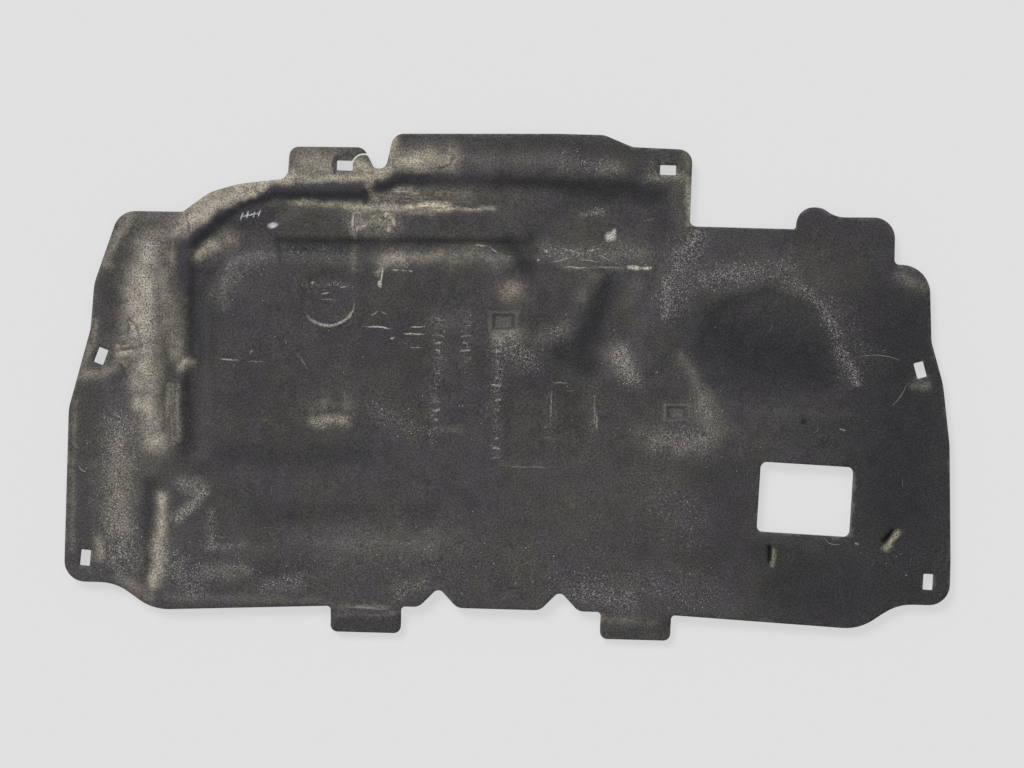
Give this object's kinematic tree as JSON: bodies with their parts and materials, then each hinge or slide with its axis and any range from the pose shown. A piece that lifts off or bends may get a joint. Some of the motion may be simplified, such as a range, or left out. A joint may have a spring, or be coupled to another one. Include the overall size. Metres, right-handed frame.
{
  "type": "hood insulation pad",
  "caption": "Pressed felt pad that lines the underside of a car hood: thin die-cut flange with clip slots, front tabs and a window, thick middle with a pressed channel and pockets.",
  "frame": {"origin": "middle of the bounding rectangle, on the flat back of the pad", "axes": "+X to the right along the pad's length, +Y towards the rear of the hood, +Z out of the engine side"},
  "size_m": [1.107, 0.63, 0.018],
  "materials": {
    "felt": "matte needled felt skin, dusty and worn"
  },
  "bodies": {
    "root": {"insulation_pad": "felt"}
  },
  "joints": []
}
